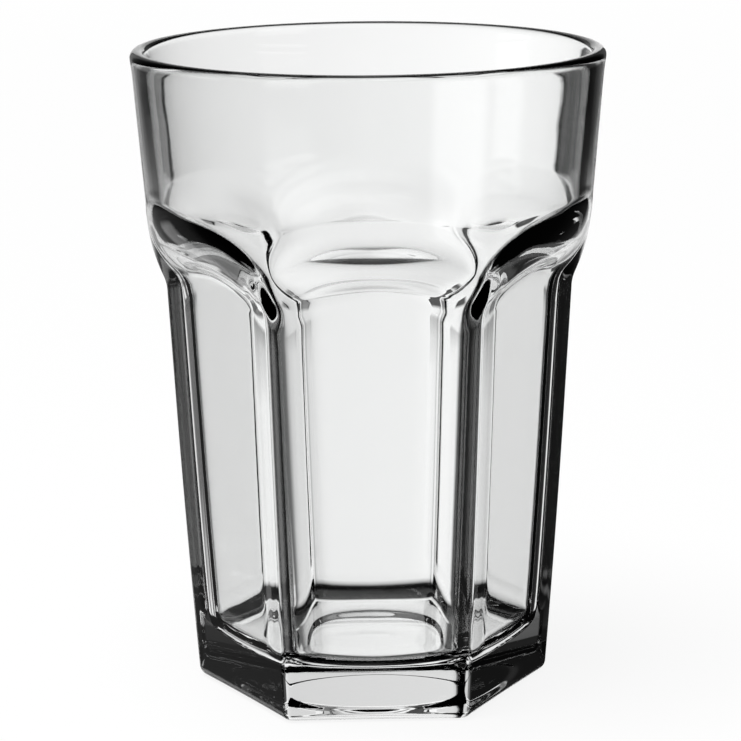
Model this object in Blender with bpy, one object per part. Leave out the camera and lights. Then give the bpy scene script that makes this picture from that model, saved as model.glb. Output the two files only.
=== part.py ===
"""Panelled beer glass: one pressed piece of clear glass with a hexagonal foot.

The glass stands on Z = 0, its axis is the Z axis and one flat panel faces -Y.
A round blank is spun from its wall section, then every ring of it is pressed to
the shape of the mould: foot, flat panels, ribs, arched ledge and round collar.
"""

import math

import bmesh
import bpy

# Overall sizes, in metres
HEIGHT = 0.130
RIM_RADIUS = 0.0470
FOOT_CORNER_RADIUS = 0.0359
FLOOR_HEIGHT = 0.0091

# Glass thickness
RIM_WALL = 0.0029
PANEL_WALL = 0.00367

# Lean of the outside, in degrees from upright
COLLAR_LEAN = 4.7
LOWER_RIB_LEAN = 4.3
UPPER_RIB_LEAN = 3.15
RIB_BEND_HEIGHT = 0.0325

# Foot and the recess under the glass
SIDES = 6
FOOT_HEIGHT = 0.0133
FOOT_ROUNDING = 0.0025
PUNT_RADIUS = 0.0219
PUNT_DEPTH = 0.00065
PUNT_SLOPE_WIDTH = 0.0044

# Flat panels between the ribs
RIB_FLANK = 0.0028
RIB_ROUNDING = 0.0010
PANEL_RECESS = 0.00028
PANEL_CORNER = 0.0033
PANEL_FILLET = 0.0032

# Arched ledge under the collar: heights at a rib and at the middle of a panel
LEDGE_START_AT_RIB = 0.0772
LEDGE_END_AT_RIB = 0.0884
LEDGE_START_AT_PANEL = 0.0855
LEDGE_END_AT_PANEL = 0.1018
LOWER_ARCH_POWER = 1.8
UPPER_ARCH_POWER = 3.8
HOLLOW_SHARE = 0.19

# Inside of the ledge, against the heights of its outside
INNER_START_DROP_AT_RIB = 0.0075
INNER_START_DROP_AT_PANEL = 0.0020
INNER_END_DROP_AT_RIB = 0.0025
INNER_END_RISE_AT_PANEL = 0.0009
INNER_LOWER_POWER = 2.4
INNER_UPPER_POWER = 3.1
INNER_HOLLOW_SHARE = 0.66

# Inside of the glass
INNER_CORNER_SOFTNESS = 0.0102
FLOOR_PAD_RADIUS = 0.0152
FLOOR_DISH = 0.0004
FLOOR_EDGE_RISE = 0.0052
FLOOR_EDGE_POWER = 4.4
FLOOR_ROUNDNESS = 3.0

# Fineness of the mesh
COLUMNS_PER_SIDE = 12
LEDGE_STEPS = 9
FLOOR_STEPS = 6
ROUNDING_STEPS = 4

SECTOR = 2 * math.pi / SIDES


def clear_scene():
    """Remove every object of the startup scene."""
    for obj in list(bpy.data.objects):
        bpy.data.objects.remove(obj)


def soft_min(a, b, width):
    """Return the smaller of two lengths, with their crossing rounded over a width."""
    overlap = max(width - abs(a - b), 0) / width
    return min(a, b) - overlap * overlap * width / 4


def faded_min(a, b, width):
    """Return the smaller of two lengths, with a rounding that fades out to both sides."""
    overlap = max(width - abs(a - b), 0) / width
    return min(a, b) - overlap * overlap * overlap * width / 6


def ease(x):
    """Rise from 0 to 1 with a level start and a level end."""
    x = min(max(x, 0), 1)
    return x * x * x * (10 + x * (6 * x - 15))


def fold(angle):
    """Return the angle from the middle of the nearest panel, without its sign."""
    from_front = angle + math.pi / 2
    return abs((from_front + SECTOR / 2) % SECTOR - SECTOR / 2)


def crowd(angle):
    """Move a column of the mesh towards the nearest rib, where the shape turns fast."""
    from_front = angle + math.pi / 2
    side = round(from_front / SECTOR)
    share = (from_front - side * SECTOR) / (SECTOR / 2)
    return angle + SECTOR / 2 * (math.sin(share * math.pi / 2) - share)


def rib_radius(z):
    """Return the distance from the axis to the crest of a rib."""
    lower = min(z, RIB_BEND_HEIGHT) * math.tan(math.radians(LOWER_RIB_LEAN))
    upper = max(z - RIB_BEND_HEIGHT, 0) * math.tan(math.radians(UPPER_RIB_LEAN))
    return FOOT_CORNER_RADIUS + lower + upper


def collar_radius(z):
    """Return the outer radius of the round collar."""
    return RIM_RADIUS - (HEIGHT - z) * math.tan(math.radians(COLLAR_LEAN))


def recess_share(across, z):
    """Return how far into its recess a panel is, from 0 on a rib to 1 on the flat."""
    half_width = rib_radius(z) * math.sin(SECTOR / 2) - RIB_FLANK
    side = abs(across) - half_width + PANEL_CORNER
    down = FOOT_HEIGHT + PANEL_CORNER - z
    if side > 0 and down > 0:
        outside = math.hypot(side, down) - PANEL_CORNER
    else:
        outside = max(side, down) - PANEL_CORNER
    return ease(-outside / PANEL_FILLET)


def face_radius(angle, z, inset, recess):
    """Return the distance from the axis to the plane of a side, along an angle from its middle."""
    apothem = rib_radius(z) * math.cos(SECTOR / 2) - inset
    across = apothem * math.tan(angle)
    return (apothem - recess * recess_share(across, z)) / math.cos(angle)


def arch_height(angle, at_rib, at_panel, power):
    """Return the height of an arch that peaks over a panel and springs from its ribs."""
    share = min(angle / (SECTOR / 2), 1)
    return at_rib + (at_panel - at_rib) * (1 - share**power) ** (1 / power)


def ledge_heights(angle):
    """Return the heights where the ledge starts and ends."""
    start = arch_height(angle, LEDGE_START_AT_RIB, LEDGE_START_AT_PANEL, LOWER_ARCH_POWER)
    end = arch_height(angle, LEDGE_END_AT_RIB, LEDGE_END_AT_PANEL, UPPER_ARCH_POWER)
    return start, end


def outer_body(angle, z):
    """Return the outer radius of the six-sided body, with its ribs rounded."""
    nearest = face_radius(angle, z, 0, PANEL_RECESS)
    neighbour = face_radius(SECTOR - angle, z, 0, PANEL_RECESS)
    return soft_min(nearest, neighbour, RIB_ROUNDING)


def inner_body(angle, z):
    """Return the inner radius of the six-sided body, with its corners well rounded."""
    inset = PANEL_RECESS + PANEL_WALL
    nearest = face_radius(angle, z, inset, 0)
    neighbour = face_radius(SECTOR - angle, z, inset, 0)
    return faded_min(nearest, neighbour, INNER_CORNER_SOFTNESS)


def inner_ledge_heights(angle):
    """Return the heights where the inside of the ledge starts and ends."""
    low_rib = LEDGE_START_AT_RIB - INNER_START_DROP_AT_RIB
    low_panel = LEDGE_START_AT_PANEL - INNER_START_DROP_AT_PANEL
    high_rib = LEDGE_END_AT_RIB - INNER_END_DROP_AT_RIB
    high_panel = LEDGE_END_AT_PANEL + INNER_END_RISE_AT_PANEL
    start = arch_height(angle, low_rib, low_panel, INNER_LOWER_POWER)
    return start, arch_height(angle, high_rib, high_panel, INNER_UPPER_POWER)


def two_arcs(low, high, start, end, hollow, share):
    """Return the radius and height on an S of a hollow arc and a round one."""
    rise = end - start
    reach = high - low
    steepest = 2 * math.atan2(reach, rise)
    both_radii = (rise * rise + reach * reach) / (2 * reach)
    if share < hollow:
        arc = hollow * both_radii
        turn = steepest * share / hollow
        return low + arc * (1 - math.cos(turn)), start + arc * math.sin(turn)
    arc = (1 - hollow) * both_radii
    turn = steepest * (1 - share) / (1 - hollow)
    return high - arc * (1 - math.cos(turn)), end - arc * math.sin(turn)


def outer_ledge_point(angle, share):
    """Return the radius and height on the outside of the ledge."""
    start, end = ledge_heights(angle)
    return two_arcs(outer_body(angle, start), collar_radius(end), start, end, HOLLOW_SHARE, share)


def inner_ledge_point(angle, share):
    """Return the radius and height on the inside of the ledge."""
    start, end = inner_ledge_heights(angle)
    high = collar_radius(end) - RIM_WALL
    return two_arcs(inner_body(angle, start), high, start, end, INNER_HOLLOW_SHARE, share)


def underside_rings():
    """Return the rings of the recess under the glass and of the rounded foot edge."""
    rings = [
        lambda angle: (0, PUNT_DEPTH),
        lambda angle: (PUNT_RADIUS - PUNT_SLOPE_WIDTH, PUNT_DEPTH),
        lambda angle: (PUNT_RADIUS, 0),
    ]

    def foot_edge(turn):
        inset = FOOT_ROUNDING * (1 - math.sin(turn))
        z = FOOT_ROUNDING * (1 - math.cos(turn))
        return lambda angle: (outer_body(angle, FOOT_ROUNDING) - inset, z)

    for step in range(ROUNDING_STEPS + 1):
        rings.append(foot_edge(math.pi / 2 * step / ROUNDING_STEPS))
    return rings


def outer_rings():
    """Return the rings of the outside, from the foot up to the lip."""
    rings = []
    level = [FOOT_HEIGHT, FOOT_HEIGHT + PANEL_FILLET / 2, FOOT_HEIGHT + PANEL_FILLET]
    level += [FOOT_HEIGHT + PANEL_CORNER, FOOT_HEIGHT + PANEL_CORNER + PANEL_FILLET]
    level += [RIB_BEND_HEIGHT]

    def at_level(z):
        return lambda angle: (outer_body(angle, z), z)

    def on_ledge(share):
        return lambda angle: outer_ledge_point(angle, share)

    for z in level:
        rings.append(at_level(z))
    for step in range(LEDGE_STEPS + 1):
        rings.append(on_ledge(step / LEDGE_STEPS))
    return rings


def lip_rings():
    """Return the rings of the rounded lip, from the outside over the top to the inside."""
    half = RIM_WALL / 2
    middle = RIM_RADIUS - half

    def ring(turn):
        r = middle + half * math.cos(turn)
        z = HEIGHT - half + half * math.sin(turn)
        return lambda angle: (r, z)

    steps = 2 * ROUNDING_STEPS
    return [ring(math.pi * step / steps) for step in range(steps + 1)]


def inner_rings():
    """Return the rings of the inside, from under the lip down to the middle of the floor."""
    rings = []
    bend = FLOOR_HEIGHT + FLOOR_EDGE_RISE

    def on_ledge(share):
        return lambda angle: inner_ledge_point(angle, 1 - share)

    def floor_edge(turn):
        outward = math.cos(turn)
        z = bend - (FLOOR_EDGE_RISE - FLOOR_DISH) * (1 - outward**FLOOR_EDGE_POWER) ** 0.5

        def ring(angle):
            nearest = inner_body(0, bend)
            corner = inner_body(angle, bend) - nearest
            r = FLOOR_PAD_RADIUS + (nearest - FLOOR_PAD_RADIUS) * outward
            return r + corner * outward**FLOOR_ROUNDNESS, z

        return ring

    for step in range(LEDGE_STEPS + 1):
        rings.append(on_ledge(step / LEDGE_STEPS))
    for step in range(FLOOR_STEPS + 1):
        rings.append(floor_edge(math.pi / 2 * step / FLOOR_STEPS))
    rings.append(lambda angle: (0, FLOOR_HEIGHT))
    return rings


def spin_blank(bm, rings, layer):
    """Spin the wall section into a round blank whose vertices remember their ring."""
    verts = []
    for number, ring in enumerate(rings):
        r, z = ring(0)
        vert = bm.verts.new((r, 0, z))
        vert[layer] = number
        verts.append(vert)
    edges = [bm.edges.new(pair) for pair in zip(verts, verts[1:])]
    bmesh.ops.spin(
        bm,
        geom=verts + edges,
        cent=(0, 0, 0),
        axis=(0, 0, 1),
        angle=2 * math.pi,
        steps=SIDES * COLUMNS_PER_SIDE,
        use_merge=True,
    )


def press(bm, rings, layer):
    """Move each vertex of the blank onto the mould."""
    for vert in bm.verts:
        angle = crowd(math.atan2(vert.co.y, vert.co.x))
        r, z = rings[vert[layer]](fold(angle))
        vert.co = (r * math.cos(angle), r * math.sin(angle), z)


def make_glass(name, collection):
    """Build the glass as one closed body."""
    rings = underside_rings() + outer_rings() + lip_rings() + inner_rings()
    bm = bmesh.new()
    layer = bm.verts.layers.int.new("ring")
    spin_blank(bm, rings, layer)
    press(bm, rings, layer)
    bmesh.ops.remove_doubles(bm, verts=bm.verts[:], dist=1e-6)
    bmesh.ops.recalc_face_normals(bm, faces=bm.faces[:])
    mesh = bpy.data.meshes.new(name)
    bm.to_mesh(mesh)
    bm.free()
    glass = bpy.data.objects.new(name, mesh)
    collection.objects.link(glass)
    mesh.shade_smooth()
    mesh.set_sharp_from_angle(angle=math.radians(35))
    return glass


def clear_glass():
    """Return the material of the glass."""
    material = bpy.data.materials.new("clear_glass")
    material.use_nodes = True
    shader = material.node_tree.nodes["Principled BSDF"]
    shader.inputs["Base Color"].default_value = (0.95, 0.97, 0.96, 1)
    shader.inputs["Roughness"].default_value = 0.02
    shader.inputs["IOR"].default_value = 1.52
    shader.inputs["Transmission Weight"].default_value = 1.0
    return material


def main():
    """Clear the scene and build the glass."""
    clear_scene()
    collection = bpy.data.collections.new("beer_glass")
    bpy.context.scene.collection.children.link(collection)
    glass = make_glass("tumbler", collection)
    glass.data.materials.append(clear_glass())


main()
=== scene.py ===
"""Looks of the panelled beer glass: its fine mesh, clear glass, a pale studio and the camera.

The glass is one pressed piece. A round blank is spun from its wall section with bmesh, then every
ring of the blank is pressed to the mould: foot, flat panels, ribs, arched ledge, collar and lip.
"""

from __future__ import annotations

import logging
import math
from collections.abc import Iterable
from dataclasses import dataclass
from enum import Enum
from typing import Callable

import bmesh
import bpy
from mathutils import Matrix, Vector

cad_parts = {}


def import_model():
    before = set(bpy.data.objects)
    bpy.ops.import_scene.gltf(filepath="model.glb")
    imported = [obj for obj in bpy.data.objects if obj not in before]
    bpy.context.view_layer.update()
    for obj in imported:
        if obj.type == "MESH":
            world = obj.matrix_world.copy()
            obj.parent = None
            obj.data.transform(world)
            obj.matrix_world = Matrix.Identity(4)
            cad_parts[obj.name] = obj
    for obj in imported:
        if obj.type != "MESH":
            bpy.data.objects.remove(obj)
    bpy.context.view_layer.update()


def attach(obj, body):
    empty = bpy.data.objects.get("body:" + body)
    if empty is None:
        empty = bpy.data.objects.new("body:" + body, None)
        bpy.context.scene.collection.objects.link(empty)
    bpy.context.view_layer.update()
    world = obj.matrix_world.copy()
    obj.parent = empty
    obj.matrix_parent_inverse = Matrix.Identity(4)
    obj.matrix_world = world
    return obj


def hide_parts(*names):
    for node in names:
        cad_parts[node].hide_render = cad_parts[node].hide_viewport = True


LOG = logging.getLogger("beer_glass")
Point = tuple[float, float]
Colour = tuple[float, float, float, float]
Ring = Callable[[float], Point]


class Side(Enum):
    """Which surface of the wall a size belongs to."""

    OUTER = "outer"
    INNER = "inner"


def soft_min(a: float, b: float, width: float) -> float:
    """Return the smaller of two lengths, with their crossing rounded.

    Args:
        a: The first length.
        b: The second length.
        width: The difference under which the rounding starts.

    Returns:
        The rounded smaller length.
    """
    overlap = max(width - abs(a - b), 0.0) / width
    return min(a, b) - overlap * overlap * width / 4


def faded_min(a: float, b: float, width: float) -> float:
    """Return the smaller of two lengths, with a rounding that fades out to both sides.

    Args:
        a: The first length.
        b: The second length.
        width: The difference under which the rounding starts.

    Returns:
        The rounded smaller length.
    """
    overlap = max(width - abs(a - b), 0.0) / width
    return min(a, b) - overlap**3 * width / 6


def ease(share: float) -> float:
    """Return a rise from 0 to 1 with a level start and a level end."""
    share = min(max(share, 0.0), 1.0)
    return share * share * share * (10 + share * (6 * share - 15))


def glide(share: float) -> float:
    """Return a gentler rise from 0 to 1 with a level start and end."""
    share = min(max(share, 0.0), 1.0)
    return share * share * (3 - 2 * share)


def spread(first: float, last: float, count: int) -> list[float]:
    """Return evenly spaced values after the first one, up to the last one."""
    return [first + (last - first) * step / count for step in range(1, count + 1)]


class Value:
    """A socket of a node tree that Python operators turn into Math nodes."""

    def __init__(self, graph: "Graph", socket: bpy.types.NodeSocket) -> None:
        """Keep the tree and the socket."""
        self.graph = graph
        self.socket = socket

    def math(self, operation: str, other: object = 0.0, swapped: bool = False) -> "Value":
        """Add a Math node.

        Args:
            operation: The operation of the node.
            other: The second operand.
            swapped: Whether the other operand comes first.

        Returns:
            The result of the node.
        """
        first, second = (other, self) if swapped else (self, other)
        return self.graph.node("ShaderNodeMath", {"operation": operation}, {0: first, 1: second})

    def __add__(self, other: object) -> "Value":
        """Return the sum."""
        return self.math("ADD", other)

    __radd__ = __add__

    def __sub__(self, other: object) -> "Value":
        """Return the difference."""
        return self.math("SUBTRACT", other)

    def __rsub__(self, other: object) -> "Value":
        """Return the difference with the operands swapped."""
        return self.math("SUBTRACT", other, swapped=True)

    def __mul__(self, other: object) -> "Value":
        """Return the product."""
        return self.math("MULTIPLY", other)

    __rmul__ = __mul__

    def __truediv__(self, other: object) -> "Value":
        """Return the quotient."""
        return self.math("DIVIDE", other)

    def __rtruediv__(self, other: object) -> "Value":
        """Return the quotient with the operands swapped."""
        return self.math("DIVIDE", other, swapped=True)

    def __abs__(self) -> "Value":
        """Return the size without its sign."""
        return self.math("ABSOLUTE")

    def __or__(self, other: object) -> "Value":
        """Return the larger of two values."""
        return self.math("MAXIMUM", other)

    __ror__ = __or__


class Graph:
    """A node tree that is filled through one method."""

    def __init__(self, tree: bpy.types.NodeTree) -> None:
        """Start from an empty tree."""
        self.tree = tree
        tree.nodes.clear()

    def node(
        self,
        kind: str,
        settings: dict[str, object] | None = None,
        inputs: dict[object, object] | None = None,
        output: object = 0,
    ) -> Value:
        """Add a node.

        Args:
            kind: The node's type.
            settings: Properties of the node, set before its sockets.
            inputs: Numbers, colours or links, by the name or number of the socket.
            output: The name or number of the socket to return.

        Returns:
            The chosen output of the new node.
        """
        made = self.tree.nodes.new(kind)
        for name, setting in (settings or {}).items():
            setattr(made, name, setting)
        for name, value in (inputs or {}).items():
            socket = made.inputs[name]
            if isinstance(value, Value):
                self.tree.links.new(value.socket, socket)
            else:
                socket.default_value = value
        if not made.outputs:
            return Value(self, made.inputs[0])
        return Value(self, made.outputs[output])

    def pulse(self, angle: Value, centre: float, half: float, soft: float) -> Value:
        """Return 1 inside a range of an angle and 0 outside it.

        Args:
            angle: The angle, in degrees.
            centre: The middle of the range.
            half: Half the width of the range.
            soft: The width of its blurred edges.

        Returns:
            The mask of the range.
        """
        inside = (half - abs(angle - centre)) / soft + 0.5
        return self.clamped(inside)

    def clamped(self, value: Value) -> Value:
        """Return a value held between 0 and 1."""
        return self.node("ShaderNodeClamp", {}, {"Value": value})

    def ramp(self, value: Value, points: tuple[Point, ...]) -> Value:
        """Return a curve through points, level outside the first and the last one.

        Args:
            value: The place along the curve.
            points: Places and heights, in rising order of place.

        Returns:
            The height of the curve.
        """
        total: object = points[0][1]
        for (start, low), (end, high) in zip(points, points[1:]):
            step = {"Value": value, "From Min": start, "From Max": end, "To Max": high - low}
            total = self.node("ShaderNodeMapRange", {}, step) + total
        return total


@dataclass(frozen=True)
class ClearGlass:
    """Fire-polished soda glass: colourless, smooth, with the faint waves of pressed glass."""

    tint: Colour = (0.997, 0.999, 0.998, 1.0)
    dense_tint: Colour = (0.986, 0.993, 0.990, 1.0)
    ior: float = 1.52
    roughness: float = 0.0
    wave_size: float = 0.016
    wave_height: float = 0.00004
    ripple_size: float = 0.0045
    ripple_height: float = 0.000003

    def material(self) -> bpy.types.Material:
        """Make the material: a tint that drifts a little, and waves in the surface.

        Returns:
            The material of the glass.
        """
        material = bpy.data.materials.new("clear_glass")
        material.use_nodes = True
        graph = Graph(material.node_tree)
        place = graph.node("ShaderNodeTexCoord", {}, {}, "Object")
        waves = self._noise(graph, place, self.wave_size, 1.0)
        ripples = self._noise(graph, place, self.ripple_size, 2.0)
        height = waves * self.wave_height + ripples * self.ripple_height
        bump = graph.node("ShaderNodeBump", {}, {"Height": height, "Distance": 1.0, "Strength": 1.0})
        blend = {0: waves, 6: self.tint, 7: self.dense_tint}
        colour = graph.node("ShaderNodeMix", {"data_type": "RGBA"}, blend, 2)
        shader = graph.node(
            "ShaderNodeBsdfPrincipled",
            {},
            {
                "Base Color": colour,
                "Roughness": self.roughness,
                "IOR": self.ior,
                "Transmission Weight": 1.0,
                "Normal": bump,
            },
        )
        graph.node("ShaderNodeOutputMaterial", {}, {"Surface": shader})
        return material

    @staticmethod
    def _noise(graph: Graph, place: Value, size: float, detail: float) -> Value:
        """Add smooth noise over the glass.

        Args:
            graph: The tree of the material.
            place: The coordinates on the glass.
            size: The size of the noise's features.
            detail: How many finer layers the noise has.

        Returns:
            The noise, from 0 to 1.
        """
        return graph.node(
            "ShaderNodeTexNoise",
            {},
            {"Vector": place, "Scale": 1 / size, "Detail": detail, "Roughness": 0.4},
        )


@dataclass
class Tumbler:
    """The whole glass, in metres: its sizes and the rings of its wall section."""

    height: float = 0.130
    rim_radius: float = 0.04715
    lip: float = 0.0030
    lip_thickening_height: float = 0.0085
    collar_wall: float = 0.00285
    collar_slope: float = 0.0822
    collar_flare: float = 0.00012
    collar_flare_height: float = 0.004
    panel_wall: float = 0.00367
    foot_corner_radius: float = 0.03586
    lower_rib_slope: float = 0.075
    upper_rib_slope: float = 0.0552
    rib_bend_height: float = 0.0325
    rib_bend_softness: float = 0.0005
    foot_height: float = 0.01335
    foot_rounding: float = 0.0025
    punt_radius: float = 0.0219
    punt_slope_width: float = 0.0044
    punt_depth: float = 0.00066
    rib_flank: float = 0.0028
    rib_rounding: float = 0.0010
    panel_recess: float = 0.00028
    panel_corner: float = 0.0033
    panel_fillet: float = 0.0032
    even_panel_height: float = 0.070
    ledge_start_at_rib: float = 0.0772
    ledge_end_at_rib: float = 0.08844
    ledge_start_at_panel: float = 0.0855
    ledge_end_at_panel: float = 0.1018
    lower_arch_power: float = 1.79
    upper_arch_power: float = 3.80
    crest_softness: float = 4.2
    hollow_share: float = 0.187
    inner_start_at_rib: float = 0.06965
    inner_end_at_rib: float = 0.0859
    inner_start_at_panel: float = 0.08355
    inner_end_at_panel: float = 0.10274
    inner_lower_power: float = 2.39
    inner_upper_power: float = 3.06
    inner_crest_softness: float = 3.5
    inner_hollow_share: float = 0.662
    inner_evenness: float = 0.342
    inner_corner_softness: float = 0.0102
    floor_height: float = 0.0091
    floor_dish: float = 0.0004
    floor_pad_radius: float = 0.0152
    floor_edge_rise: float = 0.0052
    floor_edge_power: float = 4.4
    floor_roundness: float = 3.0
    foot_fillet_below: float = 0.0013
    foot_fillet_span: float = 0.0045
    sides: int = 6
    columns_per_side: int = 60
    punt_slope_steps: int = 10
    foot_edge_steps: int = 8
    foot_side_steps: int = 6
    foot_fillet_steps: int = 14
    panel_steps: int = 14
    below_ledge_steps: int = 13
    ledge_steps: int = 54
    collar_steps: int = 21
    lip_steps: int = 14
    inner_collar_steps: int = 13
    inner_ledge_steps: int = 43
    inner_body_steps: int = 21
    floor_edge_steps: int = 27
    floor_pad_steps: int = 8

    @property
    def sector(self) -> float:
        """Return the angle of one side."""
        return 2 * math.pi / self.sides

    @property
    def floor_bend(self) -> float:
        """Return the height where the inside wall starts to curve into the floor."""
        return self.floor_height + self.floor_edge_rise

    @property
    def lip_height(self) -> float:
        """Return the height of the middle of the rounded lip."""
        return self.height - self.lip / 2

    def rib_radius(self, z: float) -> float:
        """Return the distance from the axis to the crest of a rib.

        Args:
            z: The height.

        Returns:
            The distance, which grows more slowly above the bend of the rib.
        """
        lower = self.foot_corner_radius + self.lower_rib_slope * z
        at_bend = self.foot_corner_radius + self.lower_rib_slope * self.rib_bend_height
        upper = at_bend + self.upper_rib_slope * (z - self.rib_bend_height)
        return soft_min(lower, upper, self.rib_bend_softness)

    def collar_radius(self, z: float) -> float:
        """Return the outer radius of the collar, which flares a little under the lip.

        Args:
            z: The height.

        Returns:
            The radius.
        """
        start = self.lip_height - self.collar_flare_height
        flare = self.collar_flare * glide((z - start) / self.collar_flare_height)
        straight = self.rim_radius - self.collar_flare - self.collar_slope * (self.lip_height - z)
        return straight + flare

    def inner_collar(self, z: float) -> float:
        """Return the inner radius of the collar, which thickens a little towards the lip.

        Args:
            z: The height.

        Returns:
            The radius.
        """
        start = self.lip_height - self.lip_thickening_height
        thicker = (self.lip - self.collar_wall) * glide((z - start) / self.lip_thickening_height)
        return self.collar_radius(z) - self.collar_wall - thicker

    def recess_share(self, across: float, z: float) -> float:
        """Return how far into its recess a panel is.

        Args:
            across: The distance from the middle of the panel.
            z: The height.

        Returns:
            A share from 0 on a rib to 1 on the flat of the panel.
        """
        half_width = self.rib_radius(z) * math.sin(self.sector / 2) - self.rib_flank
        side = abs(across) - half_width + self.panel_corner
        down = self.foot_height + self.panel_corner - z
        if side > 0 and down > 0:
            outside = math.hypot(side, down) - self.panel_corner
        else:
            outside = max(side, down) - self.panel_corner
        return glide(-outside / self.panel_fillet)

    def face_radius(self, angle: float, z: float, side: Side) -> float:
        """Return the distance from the axis to the plane of a side.

        Args:
            angle: The angle from the middle of the side.
            z: The height.
            side: The outer or the inner surface of the wall.

        Returns:
            The distance along that angle.
        """
        apothem = self.rib_radius(z) * math.cos(self.sector / 2)
        if side is Side.INNER:
            return (apothem - self.panel_recess - self.panel_wall) / math.cos(angle)
        recess = self.panel_recess * self.recess_share(apothem * math.tan(angle), z)
        return (apothem - recess) / math.cos(angle)

    def body_radius(self, angle: float, z: float, side: Side) -> float:
        """Return the radius of the six-sided body, with its corners rounded.

        Args:
            angle: The angle from the middle of the nearest side.
            z: The height.
            side: The outer or the inner surface of the wall.

        Returns:
            The radius.
        """
        nearest = self.face_radius(angle, z, side)
        neighbour = self.face_radius(self.sector - angle, z, side)
        if side is Side.OUTER:
            return soft_min(nearest, neighbour, self.rib_rounding)
        return faded_min(nearest, neighbour, self.inner_corner_softness)

    def arch_height(self, angle: float, ends: Point, power: float, softness: float) -> float:
        """Return the height of an arch that peaks over a panel and springs from its ribs.

        Args:
            angle: The angle from the middle of the panel.
            ends: The heights at the rib and at the middle of the panel.
            power: The squareness of the arch.
            softness: The rounding where two arches meet, in degrees.

        Returns:
            The height.
        """
        half_side = math.degrees(self.sector / 2)
        from_rib = math.degrees(self.sector / 2 - angle)
        share = min(max(1 - math.hypot(from_rib, softness) / half_side, 0.0), 1.0)
        return ends[0] + (ends[1] - ends[0]) * (1 - share**power) ** (1 / power)

    def ledge_heights(self, angle: float) -> Point:
        """Return the heights where the outside of the ledge starts and ends.

        Args:
            angle: The angle from the middle of the panel.

        Returns:
            The lower and the upper height.
        """
        lower = (self.ledge_start_at_rib, self.ledge_start_at_panel)
        upper = (self.ledge_end_at_rib, self.ledge_end_at_panel)
        start = self.arch_height(angle, lower, self.lower_arch_power, self.crest_softness)
        return start, self.arch_height(angle, upper, self.upper_arch_power, self.crest_softness)

    def inner_ledge_heights(self, angle: float) -> Point:
        """Return the heights where the inside of the ledge starts and ends.

        Args:
            angle: The angle from the middle of the panel.

        Returns:
            The lower and the upper height.
        """
        lower = (self.inner_start_at_rib, self.inner_start_at_panel)
        upper = (self.inner_end_at_rib, self.inner_end_at_panel)
        softness = self.inner_crest_softness
        start = self.arch_height(angle, lower, self.inner_lower_power, softness)
        return start, self.arch_height(angle, upper, self.inner_upper_power, softness)

    @staticmethod
    def two_arcs(start: Point, end: Point, hollow: float, share: float) -> Point:
        """Return a point on an S of a hollow arc and a round one.

        Args:
            start: The radius and height where the S starts, upright.
            end: The radius and height where it ends, upright.
            hollow: The share of the hollow arc.
            share: The place along the S, from 0 to 1.

        Returns:
            The radius and height.
        """
        reach, rise = end[0] - start[0], end[1] - start[1]
        steepest = 2 * math.atan2(reach, rise)
        radii = (rise * rise + reach * reach) / (2 * reach)
        if share < hollow:
            arc = hollow * radii
            turn = steepest * share / hollow
            return start[0] + arc * (1 - math.cos(turn)), start[1] + arc * math.sin(turn)
        arc = (1 - hollow) * radii
        turn = steepest * (1 - share) / (1 - hollow)
        return end[0] - arc * (1 - math.cos(turn)), end[1] - arc * math.sin(turn)

    def outer_ledge_point(self, angle: float, share: float) -> Point:
        """Return a point on the outside of the ledge.

        Args:
            angle: The angle from the middle of the panel.
            share: The place along the ledge, from 0 at its start to 1 at its end.

        Returns:
            The radius and height.
        """
        start, end = self.ledge_heights(angle)
        low = (self.body_radius(angle, start, Side.OUTER), start)
        return self.two_arcs(low, (self.collar_radius(end), end), self.hollow_share, share)

    def inner_ledge_point(self, angle: float, share: float) -> Point:
        """Return a point on the inside of the ledge, a softened S of two arcs.

        Args:
            angle: The angle from the middle of the panel.
            share: The place along the ledge, from 0 at its start to 1 at its end.

        Returns:
            The radius and height.
        """
        start, end = self.inner_ledge_heights(angle)
        low = (self.body_radius(angle, start, Side.INNER), start)
        r, z = self.two_arcs(low, (self.inner_collar(end), end), self.inner_hollow_share, share)
        body = self.body_radius(angle, z, Side.INNER)
        even = body + (self.inner_collar(z) - body) * ease((z - start) / (end - start))
        return r + (even - r) * self.inner_evenness, z

    def underside_rings(self) -> list[Ring]:
        """List the rings of the recess under the glass and of the rounded foot edge.

        Returns:
            The rings, from the axis outwards.
        """
        rings: list[Ring] = []
        flat = self.punt_radius - self.punt_slope_width
        for share in (0.0, 0.3, 0.6, 0.85, 1.0):
            rings.append(lambda angle, r=flat * share: (r, self.punt_depth))
        for share in spread(0.0, 1.0, self.punt_slope_steps):
            r = flat + self.punt_slope_width * share
            z = self.punt_depth * (1 - glide(share))
            rings.append(lambda angle, r=r, z=z: (r, z))
        for turn in [0.0] + spread(0.0, math.pi / 2, self.foot_edge_steps):
            rings.append(lambda angle, turn=turn: self._foot_edge(angle, turn))
        return rings

    def outer_rings(self) -> list[Ring]:
        """List the rings of the outside.

        Returns:
            The rings, from the foot up to the lip.
        """
        base = self.foot_height - self.foot_fillet_below
        top = base + self.foot_fillet_span
        levels = spread(self.foot_rounding, base, self.foot_side_steps)
        levels += spread(base, top, self.foot_fillet_steps)
        levels += spread(top, self.even_panel_height, self.panel_steps)
        rings: list[Ring] = [
            lambda angle, z=z: (self.body_radius(angle, z, Side.OUTER), z) for z in levels
        ]
        for share in spread(0.0, 1.0, self.below_ledge_steps):
            rings.append(lambda angle, share=share: self._below_ledge(angle, share))
        for share in spread(0.0, 1.0, self.ledge_steps):
            rings.append(lambda angle, share=share: self.outer_ledge_point(angle, share))
        for share in spread(0.0, 1.0, self.collar_steps):
            rings.append(lambda angle, share=share: self._on_collar(angle, share))
        return rings

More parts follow.
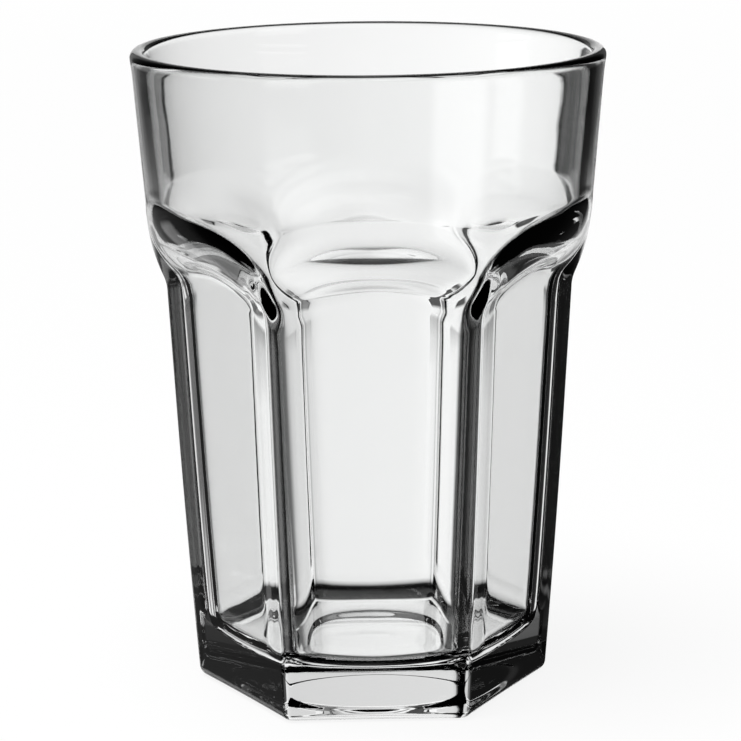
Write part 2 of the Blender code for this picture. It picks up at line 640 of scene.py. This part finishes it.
    def lip_rings(self) -> list[Ring]:
        """List the rings of the rounded lip.

        Returns:
            The rings, from the outside over the top to the inside.
        """
        half = self.lip / 2
        rings: list[Ring] = []
        for turn in spread(0.0, math.pi, self.lip_steps):
            r = self.rim_radius - half + half * math.cos(turn)
            z = self.lip_height + half * math.sin(turn)
            rings.append(lambda angle, r=r, z=z: (r, z))
        return rings

    def inner_rings(self) -> list[Ring]:
        """List the rings of the inside.

        Returns:
            The rings, from under the lip down to the middle of the floor.
        """
        rings: list[Ring] = []
        for share in spread(0.0, 1.0, self.inner_collar_steps):
            rings.append(lambda angle, share=share: self._in_collar(angle, share))
        for share in spread(1.0, 0.0, self.inner_ledge_steps):
            rings.append(lambda angle, share=share: self.inner_ledge_point(angle, share))
        for share in spread(0.0, 1.0, self.inner_body_steps):
            rings.append(lambda angle, share=share: self._in_body(angle, share))
        for turn in spread(0.0, math.pi / 2, self.floor_edge_steps):
            rings.append(lambda angle, turn=turn: self._floor_edge(angle, turn))
        for share in spread(1.0, 0.0, self.floor_pad_steps):
            rings.append(lambda angle, share=share: self._on_floor(share))
        return rings

    def _foot_edge(self, angle: float, turn: float) -> Point:
        """Return a point of the rounded edge of the foot.

        Args:
            angle: The angle from the middle of the side.
            turn: The turn along the rounding, from level to upright.

        Returns:
            The radius and height.
        """
        outside = self.body_radius(angle, self.foot_rounding, Side.OUTER)
        inset = self.foot_rounding * (1 - math.sin(turn))
        return outside - inset, self.foot_rounding * (1 - math.cos(turn))

    def _below_ledge(self, angle: float, share: float) -> Point:
        """Return a point of the panel between its even part and the ledge.

        Args:
            angle: The angle from the middle of the panel.
            share: The place between them, from 0 to 1.

        Returns:
            The radius and height.
        """
        start, _ = self.ledge_heights(angle)
        z = self.even_panel_height + (start - self.even_panel_height) * share
        return self.body_radius(angle, z, Side.OUTER), z

    def _on_collar(self, angle: float, share: float) -> Point:
        """Return a point of the outside of the collar.

        Args:
            angle: The angle from the middle of the panel.
            share: The place between the ledge and the lip, from 0 to 1.

        Returns:
            The radius and height.
        """
        _, end = self.ledge_heights(angle)
        z = end + (self.lip_height - end) * share
        return self.collar_radius(z), z

    def _in_collar(self, angle: float, share: float) -> Point:
        """Return a point of the inside of the collar.

        Args:
            angle: The angle from the middle of the panel.
            share: The place between the lip and the ledge, from 0 to 1.

        Returns:
            The radius and height.
        """
        _, end = self.inner_ledge_heights(angle)
        z = self.lip_height + (end - self.lip_height) * share
        return self.inner_collar(z), z

    def _in_body(self, angle: float, share: float) -> Point:
        """Return a point of the inside below the ledge.

        Args:
            angle: The angle from the middle of the panel.
            share: The place between the ledge and the floor's edge, from 0 to 1.

        Returns:
            The radius and height.
        """
        start, _ = self.inner_ledge_heights(angle)
        z = start + (self.floor_bend - start) * share
        return self.body_radius(angle, z, Side.INNER), z

    def _floor_edge(self, angle: float, turn: float) -> Point:
        """Return a point of the hollow curve from the six-sided wall down to the round pad.

        Args:
            angle: The angle from the middle of the side.
            turn: The turn along the curve, from upright to level.

        Returns:
            The radius and height.
        """
        outward = math.cos(turn)
        nearest = self.body_radius(0.0, self.floor_bend, Side.INNER)
        corner = self.body_radius(angle, self.floor_bend, Side.INNER) - nearest
        width = nearest - self.floor_pad_radius
        rise = self.floor_edge_rise - self.floor_dish
        z = self.floor_bend - rise * (1 - outward**self.floor_edge_power) ** 0.5
        return self.floor_pad_radius + width * outward + corner * outward**self.floor_roundness, z

    def _on_floor(self, share: float) -> Point:
        """Return a point of the round pad in the middle of the floor, which is a little dished."""
        return self.floor_pad_radius * share, self.floor_height + self.floor_dish * share * share

    def crowd(self, angle: float) -> float:
        """Move a column of the mesh towards the nearest rib, where the shape turns fast.

        Args:
            angle: The angle of the column around the axis.

        Returns:
            The new angle of the column.
        """
        from_front = angle + math.pi / 2
        nearest = round(from_front / self.sector)
        share = (from_front - nearest * self.sector) / (self.sector / 2)
        return angle + self.sector / 2 * (math.sin(share * math.pi / 2) - share)

    def fold(self, angle: float) -> float:
        """Return the angle from the middle of the nearest panel, without its sign."""
        from_front = angle + math.pi / 2
        return abs((from_front + self.sector / 2) % self.sector - self.sector / 2)

    def build(self, name: str) -> bpy.types.Object:
        """Spin the blank and press it.

        Args:
            name: The name of the piece.

        Returns:
            The glass, at the origin.
        """
        rings = self.underside_rings() + self.outer_rings() + self.lip_rings() + self.inner_rings()
        bm = bmesh.new()
        layer = bm.verts.layers.int.new("ring")
        self._spin_blank(bm, rings, layer)
        self._press(bm, rings, layer)
        bmesh.ops.remove_doubles(bm, verts=bm.verts[:], dist=1e-7)
        bmesh.ops.recalc_face_normals(bm, faces=bm.faces[:])
        mesh = bpy.data.meshes.new(name)
        bm.to_mesh(mesh)
        bm.free()
        mesh.shade_smooth()
        glass = bpy.data.objects.new(name, mesh)
        bpy.context.scene.collection.objects.link(glass)
        return glass

    def _spin_blank(
        self, bm: bmesh.types.BMesh, rings: list[Ring], layer: bmesh.types.BMLayerItem
    ) -> None:
        """Spin the wall section into a round blank whose vertices remember their ring.

        Args:
            bm: The mesh to fill.
            rings: The rings of the wall section, in order.
            layer: Where a vertex keeps the number of its ring.
        """
        verts = []
        for number, ring in enumerate(rings):
            r, z = ring(0.0)
            vert = bm.verts.new((r, 0.0, z))
            vert[layer] = number
            verts.append(vert)
        edges = [bm.edges.new(pair) for pair in zip(verts, verts[1:])]
        bmesh.ops.spin(
            bm,
            geom=verts + edges,
            cent=(0, 0, 0),
            axis=(0, 0, 1),
            angle=2 * math.pi,
            steps=self.sides * self.columns_per_side,
            use_merge=True,
        )

    def _press(
        self, bm: bmesh.types.BMesh, rings: list[Ring], layer: bmesh.types.BMLayerItem
    ) -> None:
        """Move each vertex of the blank onto the mould.

        Args:
            bm: The mesh of the blank.
            rings: The rings of the wall section, in order.
            layer: Where a vertex keeps the number of its ring.
        """
        known: dict[tuple[int, float], Point] = {}
        for vert in bm.verts:
            angle = self.crowd(math.atan2(vert.co.y, vert.co.x))
            key = (vert[layer], round(self.fold(angle), 6))
            if key not in known:
                known[key] = rings[key[0]](key[1])
            r, z = known[key]
            vert.co = (r * math.cos(angle), r * math.sin(angle), z)

    def dress(self, glass: bpy.types.Object, finish: ClearGlass) -> None:
        """Give the glass its finish."""
        glass.data.materials.append(finish.material())


@dataclass(frozen=True)
class Window:
    """A bright opening in the dark flags around the glass, in degrees of turn and rise."""

    turn: float
    half_turn: float
    low: float
    high: float
    level: float
    turn_softness: float = 5.0
    rise_softness: float = 4.0

    def seen(self, graph: Graph, turn: Value, rise: Value) -> Value:
        """Return the light of the opening in every direction.

        Args:
            graph: The tree of the world.
            turn: The turn of the direction around the axis of the glass.
            rise: The rise of the direction over the floor.

        Returns:
            The light, which is 0 outside the opening.
        """
        across = graph.pulse(turn, self.turn, self.half_turn, self.turn_softness)
        middle, half = (self.low + self.high) / 2, (self.high - self.low) / 2
        return across * graph.pulse(rise, middle, half, self.rise_softness) * self.level


@dataclass
class Studio:
    """A pale floor under one soft lamp, and a bright backdrop between dark flags.

    The near and far profiles give the light of the backdrop by degrees of turn, below and above
    the far end of the table. The rise profile scales both by degrees of rise.
    """

    floor_size: float = 12.0
    shadow_profile: tuple[Point, ...] = ((0.4, 0.10), (1.5, 0.0))
    lamp_power: float = 110.0
    lamp_size: float = 2.0
    lamp_place: tuple[float, float, float] = (-0.6, -0.4, 3.0)
    table_end_rise: float = -13.0
    table_end_softness: float = 3.0
    near_profile: tuple[Point, ...] = (
        (-90.0, 0.006),
        (-75.0, 0.02),
        (-65.0, 0.12),
        (-40.0, 0.15),
        (-30.0, 0.20),
        (-25.0, 0.42),
        (-20.0, 0.74),
        (-15.0, 0.85),
        (-9.0, 0.86),
        (-3.0, 0.95),
        (4.0, 1.05),
        (15.0, 1.10),
        (21.0, 1.00),
        (26.0, 0.40),
        (30.0, 0.05),
        (45.0, 0.02),
        (60.0, 0.01),
    )
    far_profile: tuple[Point, ...] = (
        (-90.0, 0.006),
        (-42.0, 0.008),
        (-30.0, 0.04),
        (-24.0, 0.10),
        (-21.0, 0.28),
        (-13.2, 0.30),
        (-12.6, 0.03),
        (-12.0, 0.03),
        (-11.4, 0.62),
        (-9.0, 0.78),
        (-5.0, 0.88),
        (0.0, 0.97),
        (5.0, 1.08),
        (11.4, 1.14),
        (12.2, 0.04),
        (13.2, 0.11),
        (22.0, 0.12),
        (26.0, 0.04),
        (32.0, 0.006),
    )
    rise_profile: tuple[Point, ...] = (
        (-50.0, 0.005),
        (-46.0, 0.02),
        (-40.0, 0.6),
        (-34.0, 0.95),
        (-20.0, 1.0),
        (9.0, 1.0),
        (14.0, 0.76),
        (58.0, 0.72),
        (75.0, 0.2),
    )
    windows: tuple[Window, ...] = (
        Window(-43.0, 8.5, -36.0, -18.5, 0.9),
        Window(-94.0, 10.0, -9.0, 3.0, 0.9),
        Window(135.0, 14.0, -30.0, 0.0, 0.95),
        Window(165.0, 15.0, 44.0, 78.0, 0.6),
        Window(-168.0, 12.0, 44.0, 78.0, 0.35),
    )

    def build(self) -> list[bpy.types.Object]:
        """Make the floor, the world and the lamp.

        Returns:
            The objects that were made.
        """
        floor = self._floor()
        self._world()
        return [floor, self._lamp()]

    def _floor(self) -> bpy.types.Object:
        """Make the floor, which the glass sees through to the backdrop.

        Returns:
            The floor, with its finish.
        """
        bm = bmesh.new()
        bmesh.ops.create_grid(bm, x_segments=1, y_segments=1, size=self.floor_size / 2)
        mesh = bpy.data.meshes.new("studio_floor")
        bm.to_mesh(mesh)
        bm.free()
        floor = bpy.data.objects.new("studio_floor", mesh)
        floor.visible_transmission = False
        floor.visible_glossy = False
        bpy.context.scene.collection.objects.link(floor)
        mesh.materials.append(self._floor_finish())
        return floor

    def _floor_finish(self) -> bpy.types.Material:
        """Make the finish of the floor: white, with a faint shadow near the glass.

        Returns:
            The material of the floor.
        """
        material = bpy.data.materials.new("pale_floor")
        material.use_nodes = True
        graph = Graph(material.node_tree)
        white = graph.node("ShaderNodeEmission", {}, {"Color": (1, 1, 1, 1), "Strength": 1.0})
        matt = graph.node("ShaderNodeBsdfDiffuse", {}, {"Color": (0.9, 0.9, 0.9, 1)})
        place = graph.node("ShaderNodeTexCoord", {}, {}, "Object")
        away = graph.node("ShaderNodeVectorMath", {"operation": "LENGTH"}, {0: place}, "Value")
        share = graph.ramp(away, self.shadow_profile)
        pale = graph.node("ShaderNodeMixShader", {}, {0: share, 1: white, 2: matt})
        graph.node("ShaderNodeOutputMaterial", {}, {"Surface": pale})
        material.cycles.emission_sampling = "NONE"
        return material

    def _world(self) -> None:
        """Set the world: white to the camera, a backdrop between dark flags through the glass."""
        world = bpy.data.worlds.new("studio_world")
        bpy.context.scene.world = world
        world.use_nodes = True
        graph = Graph(world.node_tree)
        place = graph.node("ShaderNodeTexCoord", {}, {}, "Generated")
        x, y, z = (
            graph.node("ShaderNodeSeparateXYZ", {}, {0: place}, axis) for axis in ("X", "Y", "Z")
        )
        turn = x.math("ARCTAN2", y) * (180 / math.pi)
        rise = z.math("ARCSINE") * (180 / math.pi)
        near = graph.ramp(turn, self.near_profile)
        far = graph.ramp(turn, self.far_profile)
        high = graph.clamped((rise - self.table_end_rise) / self.table_end_softness)
        seen = (near + (far - near) * high) * graph.ramp(rise, self.rise_profile)
        for window in self.windows:
            seen = seen | window.seen(graph, turn, rise)
        camera = graph.node("ShaderNodeLightPath", {}, {}, "Is Camera Ray")
        shown = camera | seen
        sky = graph.node("ShaderNodeBackground", {}, {"Color": (1, 1, 1, 1), "Strength": shown})
        graph.node("ShaderNodeOutputWorld", {}, {"Surface": sky})

    def _lamp(self) -> bpy.types.Object:
        """Make the soft lamp above, which only lights the floor.

        Returns:
            The lamp, turned to the glass.
        """
        data = bpy.data.lights.new("soft_lamp", "AREA")
        data.shape = "DISK"
        data.size = self.lamp_size
        data.energy = self.lamp_power
        lamp = bpy.data.objects.new("soft_lamp", data)
        lamp.location = self.lamp_place
        lamp.rotation_euler = (-lamp.location).to_track_quat("-Z", "Y").to_euler()
        lamp.visible_glossy = False
        lamp.visible_transmission = False
        bpy.context.scene.collection.objects.link(lamp)
        return lamp


@dataclass(frozen=True)
class PhotoCamera:
    """The camera of the photo, fitted to the rim, the foot and the outlines."""

    distance: float = 0.600889
    height: float = 0.2001887
    focal_pixels: float = 3039.25
    picture_pixels: float = 741.0
    pitch: float = 0.2226
    roll: float = 0.0081
    turn: float = 0.0242
    sensor: float = 36.0

    def build(self) -> bpy.types.Object:
        """Make the camera and set it as the scene's camera.

        Returns:
            The camera.
        """
        data = bpy.data.cameras.new("photo_camera")
        data.sensor_width = self.sensor
        data.lens = self.focal_pixels / self.picture_pixels * self.sensor
        data.clip_start = 0.01
        camera = bpy.data.objects.new("photo_camera", data)
        ahead = Vector((0, math.cos(self.pitch), -math.sin(self.pitch)))
        level = Vector((1, 0, 0))
        upright = level.cross(ahead)
        right = level * math.cos(self.roll) - upright * math.sin(self.roll)
        up = upright * math.cos(self.roll) + level * math.sin(self.roll)
        place = Matrix(
            (
                (right.x, up.x, -ahead.x, 0),
                (right.y, up.y, -ahead.y, -self.distance),
                (right.z, up.z, -ahead.z, self.height),
                (0, 0, 0, 1),
            )
        )
        camera.matrix_world = Matrix.Rotation(-self.turn, 4, "Z") @ place
        bpy.context.scene.collection.objects.link(camera)
        bpy.context.scene.camera = camera
        return camera


def main() -> None:
    """Load the frame, build the glass, the studio and the camera, and note the sizes."""
    logging.basicConfig(level=logging.INFO, format="%(name)s: %(message)s")
    for name in ("Cube", "Light", "Camera"):
        if name in bpy.data.objects:
            bpy.data.objects.remove(bpy.data.objects[name])
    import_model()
    PhotoCamera().build()
    tumbler = Tumbler()
    glass = tumbler.build("glass_body")
    tumbler.dress(glass, ClearGlass())
    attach(glass, "root")
    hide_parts("tumbler")
    LOG.info("%s: %d faces", glass.name, len(glass.data.polygons))
    for made in Studio().build():
        LOG.info("%s", made.name)
    bpy.context.scene.view_settings.view_transform = "Standard"


if __name__ == "__main__":
    main()
